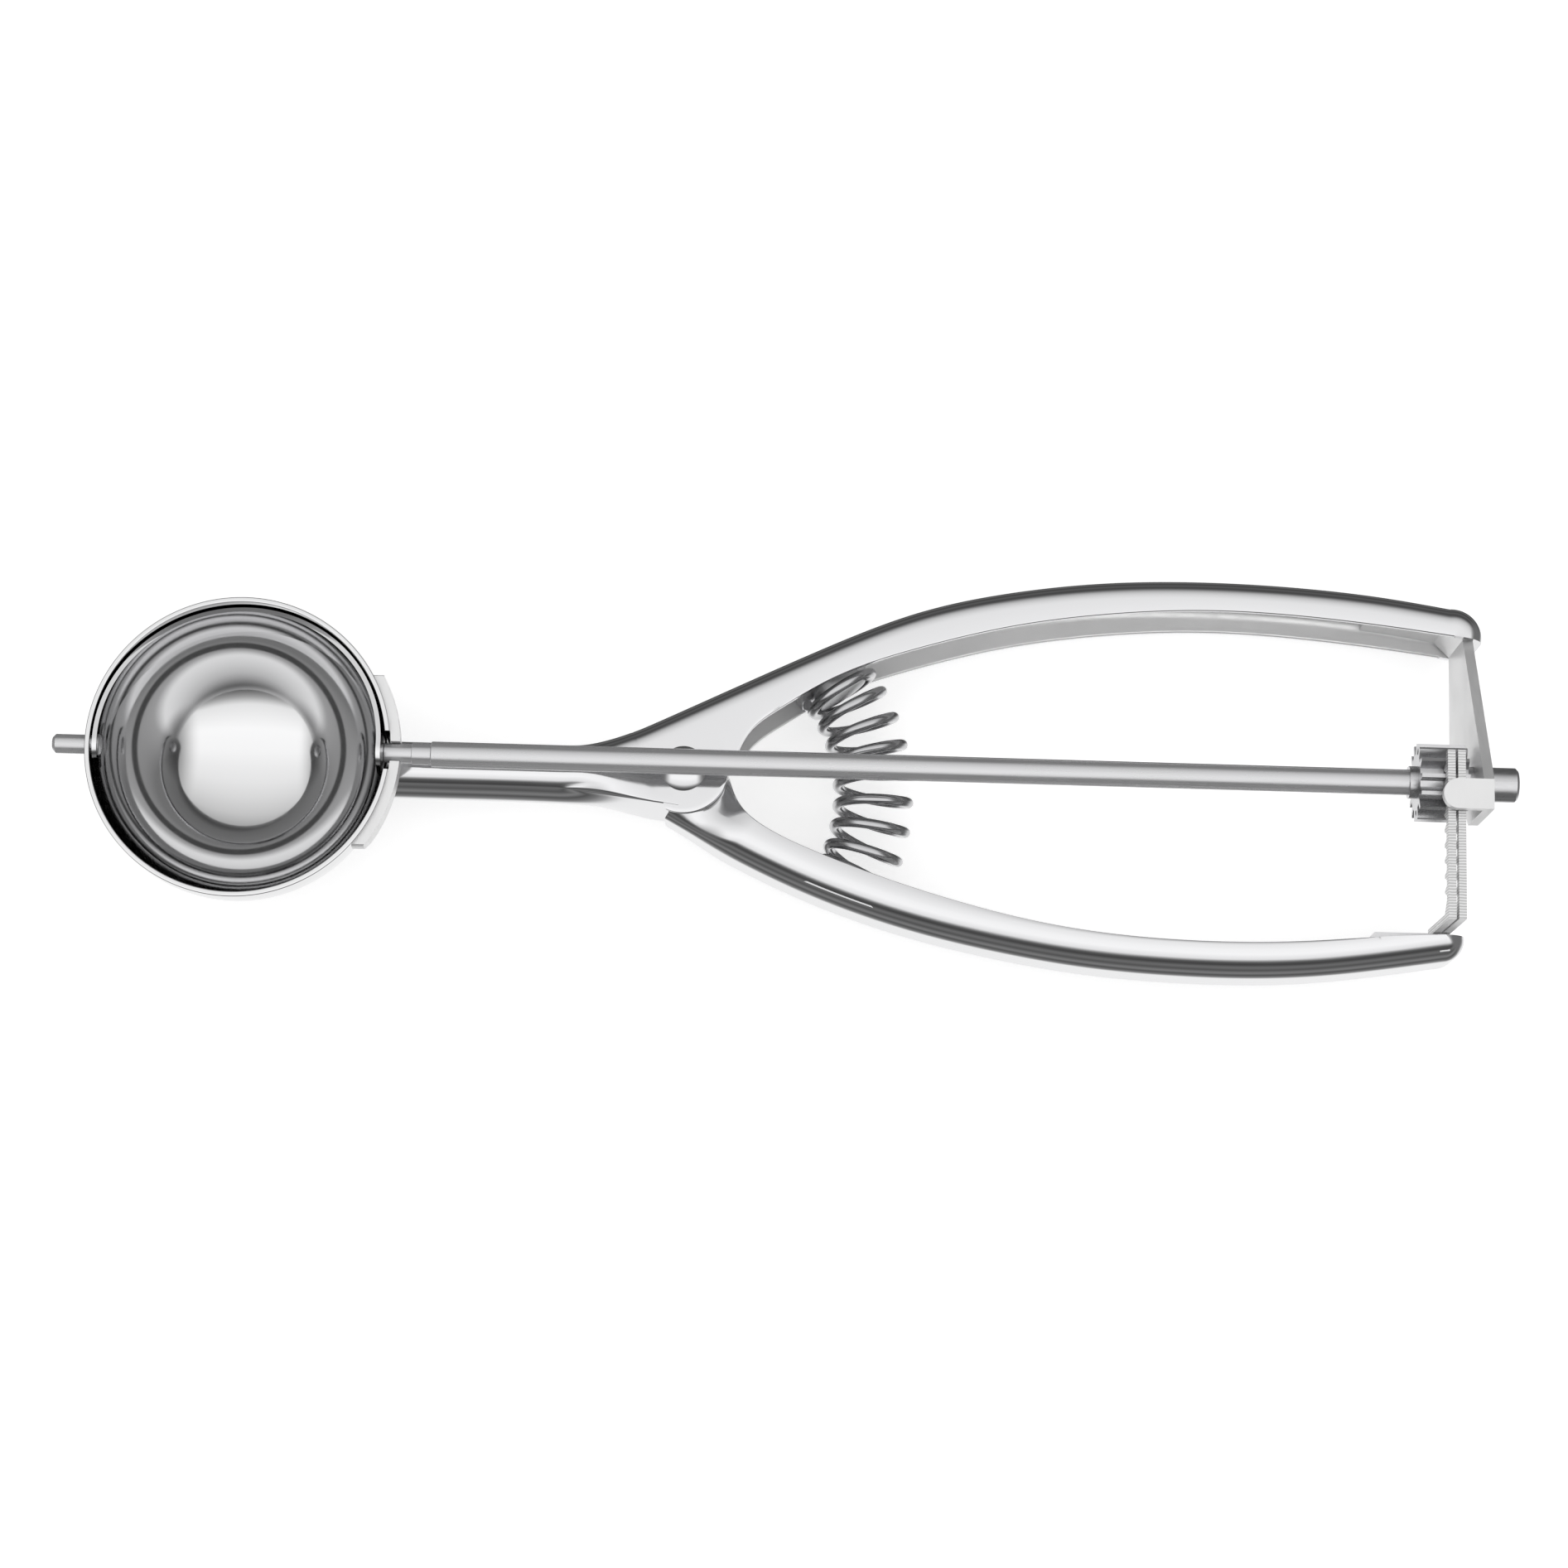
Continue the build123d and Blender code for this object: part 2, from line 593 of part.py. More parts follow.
def rack_strip(front_face):
    """A strip across the rod, toothed towards the pinion, its lower end bent into the lever's channel."""
    with BuildPart() as strip:
        with BuildSketch(Plane.YZ.offset(front_face)):
            with BuildLine():
                Polyline((rack_top, rack_root_z), (rack_top, rack_back), (foot_under, rack_back),
                         (foot_under, wall_near - rack_reach), (foot_top, wall_near - rack_reach),
                         (foot_top, rack_root_z - rack_fillet), (foot_top + rack_fillet, rack_root_z),
                         close=True)
            make_face()
            lowest = -round((-foot_top - 3) / tooth_pitch)
            for i in range(lowest, 2):
                middle = tooth_pitch * (i + 0.5)
                flank = rack_tooth_half + flank_spread
                if middle + tooth_pitch / 2 > rack_top:
                    continue
                with BuildLine():
                    Polyline((middle - flank - foot_margin, rack_root_z + 0.2), (middle - flank, rack_root_z),
                             (middle - rack_tooth_half, rack_mesh_z),
                             (middle - rack_tip_half, rack_tip_z), (middle + rack_tip_half, rack_tip_z),
                             (middle + rack_tooth_half, rack_mesh_z), (middle + flank, rack_root_z),
                             (middle + flank + foot_margin, rack_root_z + 0.2), close=True)
                make_face()
        extrude(amount=rack_thickness)
    return strip.part


rack_rear_face = rack_front_face + rack_thickness + rack_split
with BuildPart() as rack_front:
    add(rack_strip(rack_front_face))
rack_front.part.label = "rack_front"
export_step(rack_front.part, "parts/rack_front.step")

with BuildPart() as rack_rear:
    add(rack_strip(rack_rear_face))
rack_rear.part.label = "rack_rear"
export_step(rack_rear.part, "parts/rack_rear.step")

# ---- rack bracket: a bent plate welded between the lever's walls, which carries both strips
bracket_end = rack_rear_face + rack_thickness
with BuildPart() as rack_bracket:
    with BuildSketch(Plane.XY.offset(wall_far)):
        with Locations((bracket_end - bracket_length / 2, foot_under - bracket_thickness / 2)):
            Rectangle(bracket_length, bracket_thickness)
        with Locations((bracket_end - bracket_thickness / 2, foot_under - bracket_depth / 2)):
            Rectangle(bracket_thickness, bracket_depth)
        make_face(lever_pocket, mode=Mode.INTERSECT)
    extrude(amount=wall_near - wall_far)
rack_bracket.part.label = "rack_bracket"
export_step(rack_bracket.part, "parts/rack_bracket.step")
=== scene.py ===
import math

import bmesh
import bpy
import numpy as np
from mathutils import Matrix, Vector


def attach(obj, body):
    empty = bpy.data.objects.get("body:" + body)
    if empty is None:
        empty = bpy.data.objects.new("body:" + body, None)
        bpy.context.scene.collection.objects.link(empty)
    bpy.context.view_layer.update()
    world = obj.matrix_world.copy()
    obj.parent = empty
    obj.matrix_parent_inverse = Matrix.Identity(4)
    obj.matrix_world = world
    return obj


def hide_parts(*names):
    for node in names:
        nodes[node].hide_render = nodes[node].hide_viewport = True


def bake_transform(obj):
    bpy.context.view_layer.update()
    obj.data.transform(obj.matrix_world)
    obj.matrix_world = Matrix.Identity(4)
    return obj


print("loading the frame")
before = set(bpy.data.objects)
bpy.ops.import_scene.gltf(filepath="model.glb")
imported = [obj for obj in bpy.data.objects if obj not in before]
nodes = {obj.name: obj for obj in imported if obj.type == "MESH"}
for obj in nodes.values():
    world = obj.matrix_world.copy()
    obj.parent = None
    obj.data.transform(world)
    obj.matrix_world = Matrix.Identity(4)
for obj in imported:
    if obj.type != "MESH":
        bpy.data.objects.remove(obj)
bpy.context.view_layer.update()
mm = 0.001


def ease(value, low, high):
    # 0 below low, 1 above high, and 3t^2 - 2t^3 between them
    t = np.clip((np.asarray(value, float) - low) / (high - low), 0, 1)
    return t * t * (3 - 2 * t)


def smoothCurve(points, count):
    # natural cubic spline through the points, its parameter growing with the chord length
    p = np.array(points, float)
    t = np.concatenate([[0], np.cumsum(np.linalg.norm(np.diff(p, axis=0), axis=1))])
    h = np.diff(t)
    system = np.eye(len(p))
    inner = np.arange(1, len(p) - 1)
    system[inner, inner - 1] = h[:-1]
    system[inner, inner] = 2 * (h[:-1] + h[1:])
    system[inner, inner + 1] = h[1:]
    right = np.zeros_like(p)
    slopes = np.diff(p, axis=0) / h[:, None]
    right[1:-1] = 6 * np.diff(slopes, axis=0)
    bend = np.linalg.solve(system, right)
    s = np.linspace(0, t[-1], count)
    k = np.clip(np.searchsorted(t, s, "right") - 1, 0, len(h) - 1)
    past, ahead, span = (s - t[k])[:, None], (t[k + 1] - s)[:, None], h[k][:, None]
    return ((bend[k] * ahead ** 3 + bend[k + 1] * past ** 3) / (6 * span)
            + (p[k] / span - bend[k] * span / 6) * ahead + (p[k + 1] / span - bend[k + 1] * span / 6) * past)


def arcThrough(start, middle, end, count):
    # the circle through three points, from start past middle to end
    a, b, c = (np.array(q, float) for q in (start, middle, end))
    rows = np.array([b - a, c - b]) * 2
    centre = np.linalg.solve(rows, [b @ b - a @ a, c @ c - b @ b])
    angles = np.unwrap([math.atan2(*(q - centre)[::-1]) for q in (a, b, c)])
    around = np.linspace(angles[0], angles[2], count)
    return centre + np.linalg.norm(a - centre) * np.stack([np.cos(around), np.sin(around)], -1)


def evenly(path, count):
    # the same line with its points spread evenly along its length
    s = np.concatenate([[0], np.cumsum(np.linalg.norm(np.diff(path, axis=0), axis=1))])
    at = np.linspace(0, s[-1], count)
    return np.stack([np.interp(at, s, path[:, i]) for i in range(path.shape[1])], -1)


mergeWithin = 0.002
sharpFrom = 35


def makePiece(name, points, faces, body, material, stands=(), sharp=sharpFrom, inside=None):
    # points in mm; doubles are merged, so seams and poles close, and the faces are turned outwards; the faces that
    # inside marks are left satin
    mesh = bpy.data.meshes.new(name)
    mesh.from_pydata((np.asarray(points).reshape(-1, 3) * mm).tolist(), [], [list(f) for f in faces])
    if inside is not None:
        mesh.polygons.foreach_set("material_index", np.asarray(inside, int))
    work = bmesh.new()
    work.from_mesh(mesh)
    bmesh.ops.remove_doubles(work, verts=work.verts, dist=mergeWithin * mm)
    bmesh.ops.recalc_face_normals(work, faces=work.faces)
    work.to_mesh(mesh)
    work.free()
    mesh.polygons.foreach_set("use_smooth", np.ones(len(mesh.polygons), bool))
    mesh.set_sharp_from_angle(angle=math.radians(sharp))
    piece = bpy.data.objects.new(name, mesh)
    bpy.context.scene.collection.objects.link(piece)
    if material:
        mesh.materials.append(material)
    if inside is not None:
        mesh.materials.append(look["satin"])
    if body:
        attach(piece, body)
    if stands:
        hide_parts(*stands)
    return piece


def gridFaces(rows, cols, wrapRows=False, wrapCols=False):
    # quads between neighbours of a grid of points
    i = np.arange(rows if wrapRows else rows - 1)[:, None]
    j = np.arange(cols if wrapCols else cols - 1)[None, :]
    below, right = (i + 1) % rows, (j + 1) % cols
    corners = [i * cols + j, i * cols + right, below * cols + right, below * cols + j]
    return np.stack([np.broadcast_to(c, (i.size, j.size)) for c in corners], -1).reshape(-1, 4)


def turned(profile, centre, axis, count):
    # a profile of (along, radius) carried round an axis: x or z through centre
    profile = np.array(profile, float)
    around = np.linspace(0, 2 * math.pi, count, endpoint=False)
    along = np.broadcast_to(profile[None, :, 0], (count, len(profile)))
    across = profile[None, :, 1] * np.cos(around)[:, None]
    up = profile[None, :, 1] * np.sin(around)[:, None]
    order = (along, across, up) if axis == "x" else (across, up, along)
    return np.stack(order, -1) + np.array(centre, float), gridFaces(count, len(profile), wrapRows=True)


shortLine = 0.45


def roundCorners(corners, radius, steps=5):
    # each inner corner of an open line becomes a short curve that starts and ends radius away from it, or a little
    # short of the middle of a line that is too short for that
    line = [np.array(corners[0], float)]
    for before, corner, after in zip(corners, corners[1:], corners[2:]):
        b, c, a = (np.array(q, float) for q in (before, corner, after))
        reach = min(radius, shortLine * np.linalg.norm(b - c), shortLine * np.linalg.norm(a - c))
        start = c + (b - c) / np.linalg.norm(b - c) * reach
        end = c + (a - c) / np.linalg.norm(a - c) * reach
        t = np.linspace(0, 1, steps)[:, None]
        line.extend((1 - t) ** 2 * start + 2 * t * (1 - t) * c + t ** 2 * end)
    line.append(np.array(corners[-1], float))
    return np.array(line)


def addNode(tree, kind, inputs=(), **settings):
    # a new node with its settings, and with values on its inputs, which go by name or number
    made = tree.nodes.new(kind)
    for key, value in settings.items():
        setattr(made, key, value)
    for key, value in dict(inputs).items():
        made.inputs[key].default_value = value
    return made


def grey(value):
    return (value, value, value, 1)


# groove is the share of the colour kept in the cutter marks' grooves: a painted shade in the recesses
grainShape = dict(detail=4.0, clouds=90.0, low=0.1, high=0.45, depth=0.02, waver=1.5, groove=0.6)


def steel(name, colour, roughness, spread, grain, stretch, bump, metal=1.0, marks=0):
    # bare steel: fine grain, stretched along the piece, moves the roughness and a very shallow bump; where a cutter
    # has left marks, even bands across the strip make the bump instead, and the base colour is painted darker in their
    # grooves as painted shade in the recesses
    material = bpy.data.materials.new(name)
    material.use_nodes = True
    tree = material.node_tree
    link = tree.links.new
    shader = tree.nodes["Principled BSDF"]
    shader.inputs["Base Color"].default_value = (*colour, 1)
    shader.inputs["Metallic"].default_value = metal
    place = addNode(tree, "ShaderNodeTexCoord")
    turn = addNode(tree, "ShaderNodeMapping", {"Scale": stretch})
    noise = addNode(tree, "ShaderNodeTexNoise", {"Scale": grain, "Detail": grainShape["detail"]})
    clouds = addNode(tree, "ShaderNodeTexNoise", {"Scale": grainShape["clouds"]})
    both = addNode(tree, "ShaderNodeMath", operation="MULTIPLY")
    rough = addNode(tree, "ShaderNodeMapRange", {
        "From Min": grainShape["low"], "From Max": grainShape["high"],
        "To Min": roughness, "To Max": roughness + spread})
    raised = addNode(tree, "ShaderNodeBump", {"Strength": bump, "Distance": grainShape["depth"] * mm})
    link(place.outputs["Object"], turn.inputs["Vector"])
    link(turn.outputs["Vector"], noise.inputs["Vector"])
    link(place.outputs["Object"], clouds.inputs["Vector"])
    link(noise.outputs["Fac"], both.inputs[0])
    link(clouds.outputs["Fac"], both.inputs[1])
    link(both.outputs["Value"], rough.inputs["Value"])
    link(rough.outputs["Result"], shader.inputs["Roughness"])
    height = noise.outputs["Fac"]
    if marks:
        bands = addNode(tree, "ShaderNodeTexWave", {"Scale": marks, "Distortion": grainShape["waver"]},
                        bands_direction="Y")
        # painted shade: the base colour is darkened where the bands' bump is low, in the grooves
        groove = [grainShape["groove"] * part for part in colour]
        paintedGrooveShade = addNode(tree, "ShaderNodeMixRGB", {"Color1": (*groove, 1), "Color2": (*colour, 1)})
        link(place.outputs["Object"], bands.inputs["Vector"])
        link(bands.outputs["Fac"], paintedGrooveShade.inputs["Fac"])
        link(paintedGrooveShade.outputs["Color"], shader.inputs["Base Color"])
        height = bands.outputs["Fac"]
    link(height, raised.inputs["Height"])
    link(raised.outputs["Normal"], shader.inputs["Normal"])
    return material


finishes = {
    "polished": dict(colour=(0.80, 0.80, 0.81), roughness=0.06, spread=0.08, grain=500, stretch=(0.25, 1, 1),
                     bump=0.10),
    "bowl": dict(colour=(0.83, 0.83, 0.835), roughness=0.04, spread=0.04, grain=700, stretch=(1, 1, 1),
                 bump=0.03),
    "rod": dict(colour=(0.74, 0.74, 0.75), roughness=0.20, spread=0.12, grain=2600, stretch=(0.02, 1, 1),
                bump=0.20, metal=0.72),
    "satin": dict(colour=(0.96, 0.96, 0.96), roughness=0.26, spread=0.30, grain=900, stretch=(0.5, 1, 1),
                  bump=0.8, metal=0.7),
    "brushed": dict(colour=(0.74, 0.74, 0.75), roughness=0.26, spread=0.16, grain=2200, stretch=(1, 0.08, 1),
                    bump=0.22),
    "sheared": dict(colour=(0.93, 0.93, 0.93), roughness=0.34, spread=0.18, grain=2400, stretch=(1, 0.1, 0.1),
                    bump=0.45, metal=0.65),
    "cut": dict(colour=(0.70, 0.70, 0.71), roughness=0.24, spread=0.14, grain=2600, stretch=(0.3, 1, 1),
                bump=0.2),
    "marked": dict(colour=(0.96, 0.96, 0.96), roughness=0.34, spread=0.14, grain=2600, stretch=(0.3, 1, 1),
                   bump=0.9, metal=0.7, marks=700),
    "spring": dict(colour=(0.56, 0.56, 0.57), roughness=0.12, spread=0.10, grain=1400, stretch=(1, 1, 1),
                   bump=0.08),
}
look = {name: steel(name + "_steel", **values) for name, values in finishes.items()}
finishOf = dict(bowl_saddle="sheared", bearing_strap="sheared", rack_bracket="brushed", rack_front="marked",
                rack_rear="marked", pinion="cut", spring_seat_upper="brushed", spring_seat_lower="brushed",
                pivot_sleeve="rod")
for nodeName, finish in finishOf.items():
    nodes[nodeName].data.materials.clear()
    nodes[nodeName].data.materials.append(look[finish])
print("finishes made")

bowlShape = dict(radius=24.2, wall=0.8, rim=2.7, rimStart=0.6, lip=0.22, lipSteps=6, upSteps=84, around=288)
cutShape = dict(pinRadius=1.6, pinSteps=48, pinReach=(-30, -20),
                rearRadius=3.1, rearSteps=32, rearTop=5, rearReach=(18, 30))


def bowlProfile(b):
    # (height, radius): out from the lower pole, up a quarter circle and the straight rim, over the lip and back
    swing = np.linspace(0, math.pi / 2, b["upSteps"])
    inside = b["radius"] - b["wall"]
    outer = np.stack([-b["radius"] * np.cos(swing), b["radius"] * np.sin(swing)], -1)
    inner = np.stack([-inside * np.cos(swing), inside * np.sin(swing)], -1)[::-1]
    top = roundCorners([(b["rimStart"], b["radius"]), (b["rim"], b["radius"]), (b["rim"], inside),
                        (b["rimStart"], inside)], b["lip"], b["lipSteps"])
    return np.concatenate([outer, top, inner])


def prism(name, outline, low, high):
    # an outline in y and z carried from x = low to x = high, closed at both ends
    outline = np.array(outline, float)
    count = len(outline)
    ends = [np.column_stack([np.full(count, x), outline]) for x in (low, high)]
    faces = [list(f) for f in gridFaces(2, count, wrapCols=True)]
    faces += [list(range(count)), list(range(count, 2 * count))]
    return makePiece(name, np.concatenate(ends), faces, None, None)


def cutAway(piece, cutters):
    # takes the cutters out of the piece and keeps the result as its mesh
    for cutter in cutters:
        step = piece.modifiers.new("cut", "BOOLEAN")
        step.object = cutter
        step.solver = "EXACT"
    done = bpy.data.meshes.new_from_object(piece.evaluated_get(bpy.context.evaluated_depsgraph_get()))
    piece.modifiers.clear()
    piece.data = done
    done.polygons.foreach_set("use_smooth", np.ones(len(done.polygons), bool))
    done.set_sharp_from_angle(angle=math.radians(sharpFrom))
    for cutter in cutters:
        bpy.data.objects.remove(cutter)


def arc(radius, low, high, steps):
    # points round the origin from the low angle to the high one
    swing = np.linspace(low, high, steps + 1)
    return np.stack([radius * np.cos(swing), radius * np.sin(swing)], -1)


points, faces = turned(bowlProfile(bowlShape), (0, 0, 0), "z", bowlShape["around"])
bowl = makePiece("bowl_shell", points, faces, "frame", look["bowl"], ["bowl"])
c = cutShape
pinCut = prism("pin_cut", arc(c["pinRadius"], 0, 2 * math.pi, c["pinSteps"])[:-1], *c["pinReach"])
rearOutline = np.concatenate([arc(c["rearRadius"], math.pi, 2 * math.pi, c["rearSteps"]),
                              [(c["rearRadius"], c["rearTop"]), (-c["rearRadius"], c["rearTop"])]])
rearCut = prism("rear_cut", rearOutline, *c["rearReach"])
bpy.context.view_layer.update()
cutAway(bowl, [pinCut, rearCut])
print("bowl made")

bladeShape = dict(outer=23.1, thickness=0.7, width=8.0, tab=3.6, roundedEnd=3.3, restAngle=-9.8, along=180,
                  across=20, sharp=50)


def bladeGrid(b):
    # a point at angle t in the blade's plane and w off it lies on the sphere, sqrt(radius^2 - w^2) from its line; both
    # ends are rounded, so the half width shrinks as an ellipse over the last stretch
    e = math.radians(b["restAngle"])
    reach = np.array([0, math.cos(e), math.sin(e)])
    off = np.array([0, -math.sin(e), math.cos(e)])
    low = -math.asin(b["tab"] / b["outer"])
    share = (1 - np.cos(np.linspace(0, math.pi, b["along"]))) / 2
    t = low + (math.pi - 2 * low) * share
    fromEnd = np.minimum(t - low, math.pi - low - t) * b["outer"]
    half = b["width"] / 2 * np.sqrt(1 - (1 - np.clip(fromEnd / b["roundedEnd"], 0, 1)) ** 2)
    v = np.linspace(-1, 1, b["across"])
    sides = []
    for radius, flip in ((b["outer"], 1), (b["outer"] - b["thickness"], -1)):
        w = half[:, None] * v[None, ::flip]
        line = np.sqrt(radius ** 2 - w ** 2)
        sides.append((line * np.cos(t)[:, None])[..., None] * np.array([1.0, 0, 0])
                     + (line * np.sin(t)[:, None])[..., None] * reach + w[..., None] * off)
    return np.concatenate(sides, axis=1)


points = bladeGrid(bladeShape)
faces = gridFaces(points.shape[0], points.shape[1], wrapCols=True)
makePiece("blade_strip", points, faces, "scraper", look["bowl"], ["scraper_blade"],
          sharp=bladeShape["sharp"])

shaftShape = dict(tenon=1.0, tenonHead=1.7, headHeight=0.6, dome=((0.05, 0.45), (0.25, 0.85)), headRim=0.1,
                  rod=2.05, neck=1.55, neckEnd=27.5, grooveEnd=30.5, groove=0.3, grooveSlope=0.1, rodEnd=199.0,
                  rodRound=0.08, rodAround=96, pinTip=29.6, pin=1.55, tipChamfer=0.5, pinRound=0.12,
                  pinAround=64)
bladeInner = bladeShape["outer"] - bladeShape["thickness"]
headSeat = math.sqrt(bladeInner ** 2 - shaftShape["tenonHead"] ** 2)


def shaftProfile(s, body, end, rounding):
    # (along, radius): the domed head inside the blade, the tenon through it, the body's corners with small
    # roundings, and the end on the axis; dome holds (depth below the top, share of the head's radius)
    top = headSeat - s["headHeight"]
    dome = [(top + drop, s["tenonHead"] * share) for drop, share in s["dome"]]
    tenon = [(headSeat - s["headRim"], s["tenonHead"]), (headSeat, s["tenonHead"]), (headSeat, s["tenon"]),
             (bladeShape["outer"], s["tenon"])]
    return np.concatenate([[(top, 0)], roundCorners(dome + tenon + body, rounding), [(end, 0)]])


s = shaftShape
rodBody = [(bladeShape["outer"], s["neck"]), (s["neckEnd"], s["neck"]), (s["neckEnd"], s["rod"] - s["groove"]),
           (s["grooveEnd"], s["rod"] - s["groove"]), (s["grooveEnd"] + s["grooveSlope"], s["rod"]),
           (s["rodEnd"], s["rod"])]
points, faces = turned(shaftProfile(s, rodBody, s["rodEnd"], s["rodRound"]), (0, 0, 0), "x", s["rodAround"])
makePiece("rod_bar", points, faces, "scraper", look["rod"], ["drive_rod"])
pinBody = [(bladeShape["outer"], s["pin"]), (s["pinTip"] - s["tipChamfer"], s["pin"]),
           (s["pinTip"], s["pin"] - s["tipChamfer"])]
pinProfile = shaftProfile(s, pinBody, s["pinTip"], s["pinRound"]) * np.array([-1, 1])
points, faces = turned(pinProfile, (0, 0, 0), "x", s["pinAround"])
makePiece("pin_stub", points, faces, "scraper", look["rod"], ["front_pin"])
print("scraper made")

handleShape = dict(sheet=1.3, near=-5.3, width=16.4, corner=3.2, leverCorner=4.8, rimRound=0.22, rimMiddle=0.3,
                   crown=0.14, pivotX=70.5, ear=7.2, earStart=-130, earLap=4, leverEar=6.5, earGap=0.32,
                   earHole=2.05, earRound=0.2, clear=6.3, joggle=(7.0, 14.5), tubeHalfWidth=5.6, tubeEnd=50.0,
                   tightened=0.88, channelStart=62.0, channelLap=0.3, shankEnd=64.5, tuck=0.03, saddle=25.75,
                   saddleFade=40.0)
handleSteps = dict(stations=480, back=600, tip=40, edge=300, fixedEar=60, leverEar=70, frontBelly=90, belly=200,
                   earAround=120)
middleZ = handleShape["near"] - handleShape["width"] / 2
halfWidth = handleShape["width"] / 2


def aroundPivot(angle, radius):
    # the point (x, y) at this angle and distance from the pivot
    swing = math.radians(angle)
    return (handleShape["pivotX"] + radius * math.cos(swing), radius * math.sin(swing))


fixedShape = dict(
    back=[(16, 4.6), (30, 4.6), (42, 4.62), (51, 4.75), (57, 5.05), (61, 5.9), (65, 7.6), (70, 10.05), (80, 15.0),
          (93.2, 21.4), (108.1, 27.6), (123.2, 31.3), (138.4, 33.3), (154, 33.9), (170, 33.4), (184, 32.1),
          (194, 30.6)],
    bulge=(198.6, 28.2), tip=(199.2, 24.9),
    edge=[(199.2, 24.9), (184, 26.8), (170, 28.1), (155, 28.6), (138.2, 27.5), (123.1, 25.1), (108.2, 21.1),
          (93.3, 15.2), (86, 10.6), (80.8, 6.2), (79, 2.6)],
    belly=[(14, -4.6), (30, -4.6), (44, -4.6), (54, -4.75), (60, -5.0), (66, -5.6), (76, -7.2)],
    bellyToEar=5, hold=3.2)
leverShape = dict(
    back=[(67.6, -7.4), (71.3, -9.5), (75.4, -12.0), (81.4, -15.1), (94.5, -20.6), (109.7, -25.2), (121, -27.6),
          (135, -29.7), (150, -30.7), (161, -30.8), (172, -30.2), (183, -28.8), (193, -27.2)],
    bulge=(195.6, -25.8), tip=(196.3, -23.2),
    edge=[(196.3, -23.2), (183, -24.0), (171, -25.0), (158, -25.5), (144, -25.1), (130, -23.5), (116, -20.5),
          (102, -16.4), (91, -12.4), (84.3, -9.3), (80.6, -6.5), (78.7, -3.4), (77.9, -1.0)],
    hold=3.0)


def fixedEdgePath(f, h):
    # from the shank's belly round the ear and out along the wall's inner edge to the tip
    inner = smoothCurve(f["edge"], handleSteps["edge"])[::-1]
    earEnd = math.degrees(math.asin(inner[0][1] / h["ear"])) - h["earLap"]
    angles = np.linspace(h["earStart"], earEnd, handleSteps["fixedEar"])
    ear = np.array([aroundPivot(angle, h["ear"]) for angle in angles])
    belly = smoothCurve(f["belly"][:f["bellyToEar"]] + [tuple(ear[0])], handleSteps["frontBelly"])
    return np.concatenate([belly, ear[1:], inner])


def leverEdgePath(f, h):
    # round the other handle's ear, then out along the wall's inner edge to the tip
    inner = smoothCurve(f["edge"], handleSteps["edge"])[::-1]
    start = f["back"][0]
    low, high = [math.degrees(math.atan2(y, x - h["pivotX"])) for x, y in (start, inner[0])]
    angles = np.linspace(low, high, handleSteps["leverEar"])
    ear = np.array([aroundPivot(angle, h["clear"]) for angle in angles])
    return np.concatenate([[start], ear, inner])


nearZero = 1e-9


def depthLine(back, inward, edge, hold, deepest=24, shallowest=0.05, smoothOver=8):
    # for each station of the back, the point of the edge line that its inward normal meets; it stops a little (hold)
    # before the tip, and the positions are smoothed so that the whole edge line is followed
    first, step = edge[:-1], np.diff(edge, axis=0)
    gap = first[None] - back[:, None]
    cross = inward[:, None, 0] * step[None, :, 1] - inward[:, None, 1] * step[None, :, 0]
    cross = np.where(abs(cross) < nearZero, nearZero, cross)
    depth = (gap[..., 0] * step[None, :, 1] - gap[..., 1] * step[None, :, 0]) / cross
    part = (gap[..., 0] * inward[:, None, 1] - gap[..., 1] * inward[:, None, 0]) / cross
    good = (depth > shallowest) & (part >= 0) & (part < 1) & (depth < deepest)
    length = np.concatenate([[0], np.cumsum(np.linalg.norm(step, axis=1))])
    nearest = np.where(good, depth, np.inf).argmin(axis=1)
    hit = good.any(axis=1)
    at = length[nearest] + part[np.arange(len(back)), nearest] * np.linalg.norm(step, axis=1)[nearest]
    index = np.arange(len(back))
    at = np.interp(index, index[hit], at[hit])
    at = np.minimum(np.maximum.accumulate(at), length[-1] - hold)
    window = np.hanning(2 * smoothOver + 1)
    smooth = np.convolve(np.pad(at, smoothOver, mode="edge"), window / window.sum(), mode="valid")
    return np.stack([np.interp(smooth, length, edge[:, i]) for i in range(2)], -1)


def sectionHalf(wallSteps=15, turnSteps=14, flatSteps=8):
    # nominal places along half of the sheet's section, from the rim to the middle of the back: share of the wall,
    # angle round the corner and share of the flat back
    wall = np.concatenate([np.linspace(1, 0, wallSteps + 1), np.zeros(turnSteps + flatSteps)])
    turn = np.concatenate([np.zeros(wallSteps), np.linspace(0, math.pi / 2, turnSteps + 1),
                           np.full(flatSteps, math.pi / 2)])
    flat = np.concatenate([np.zeros(wallSteps + turnSteps), np.linspace(0, 1, flatSteps + 1)])
    return wall, turn, flat


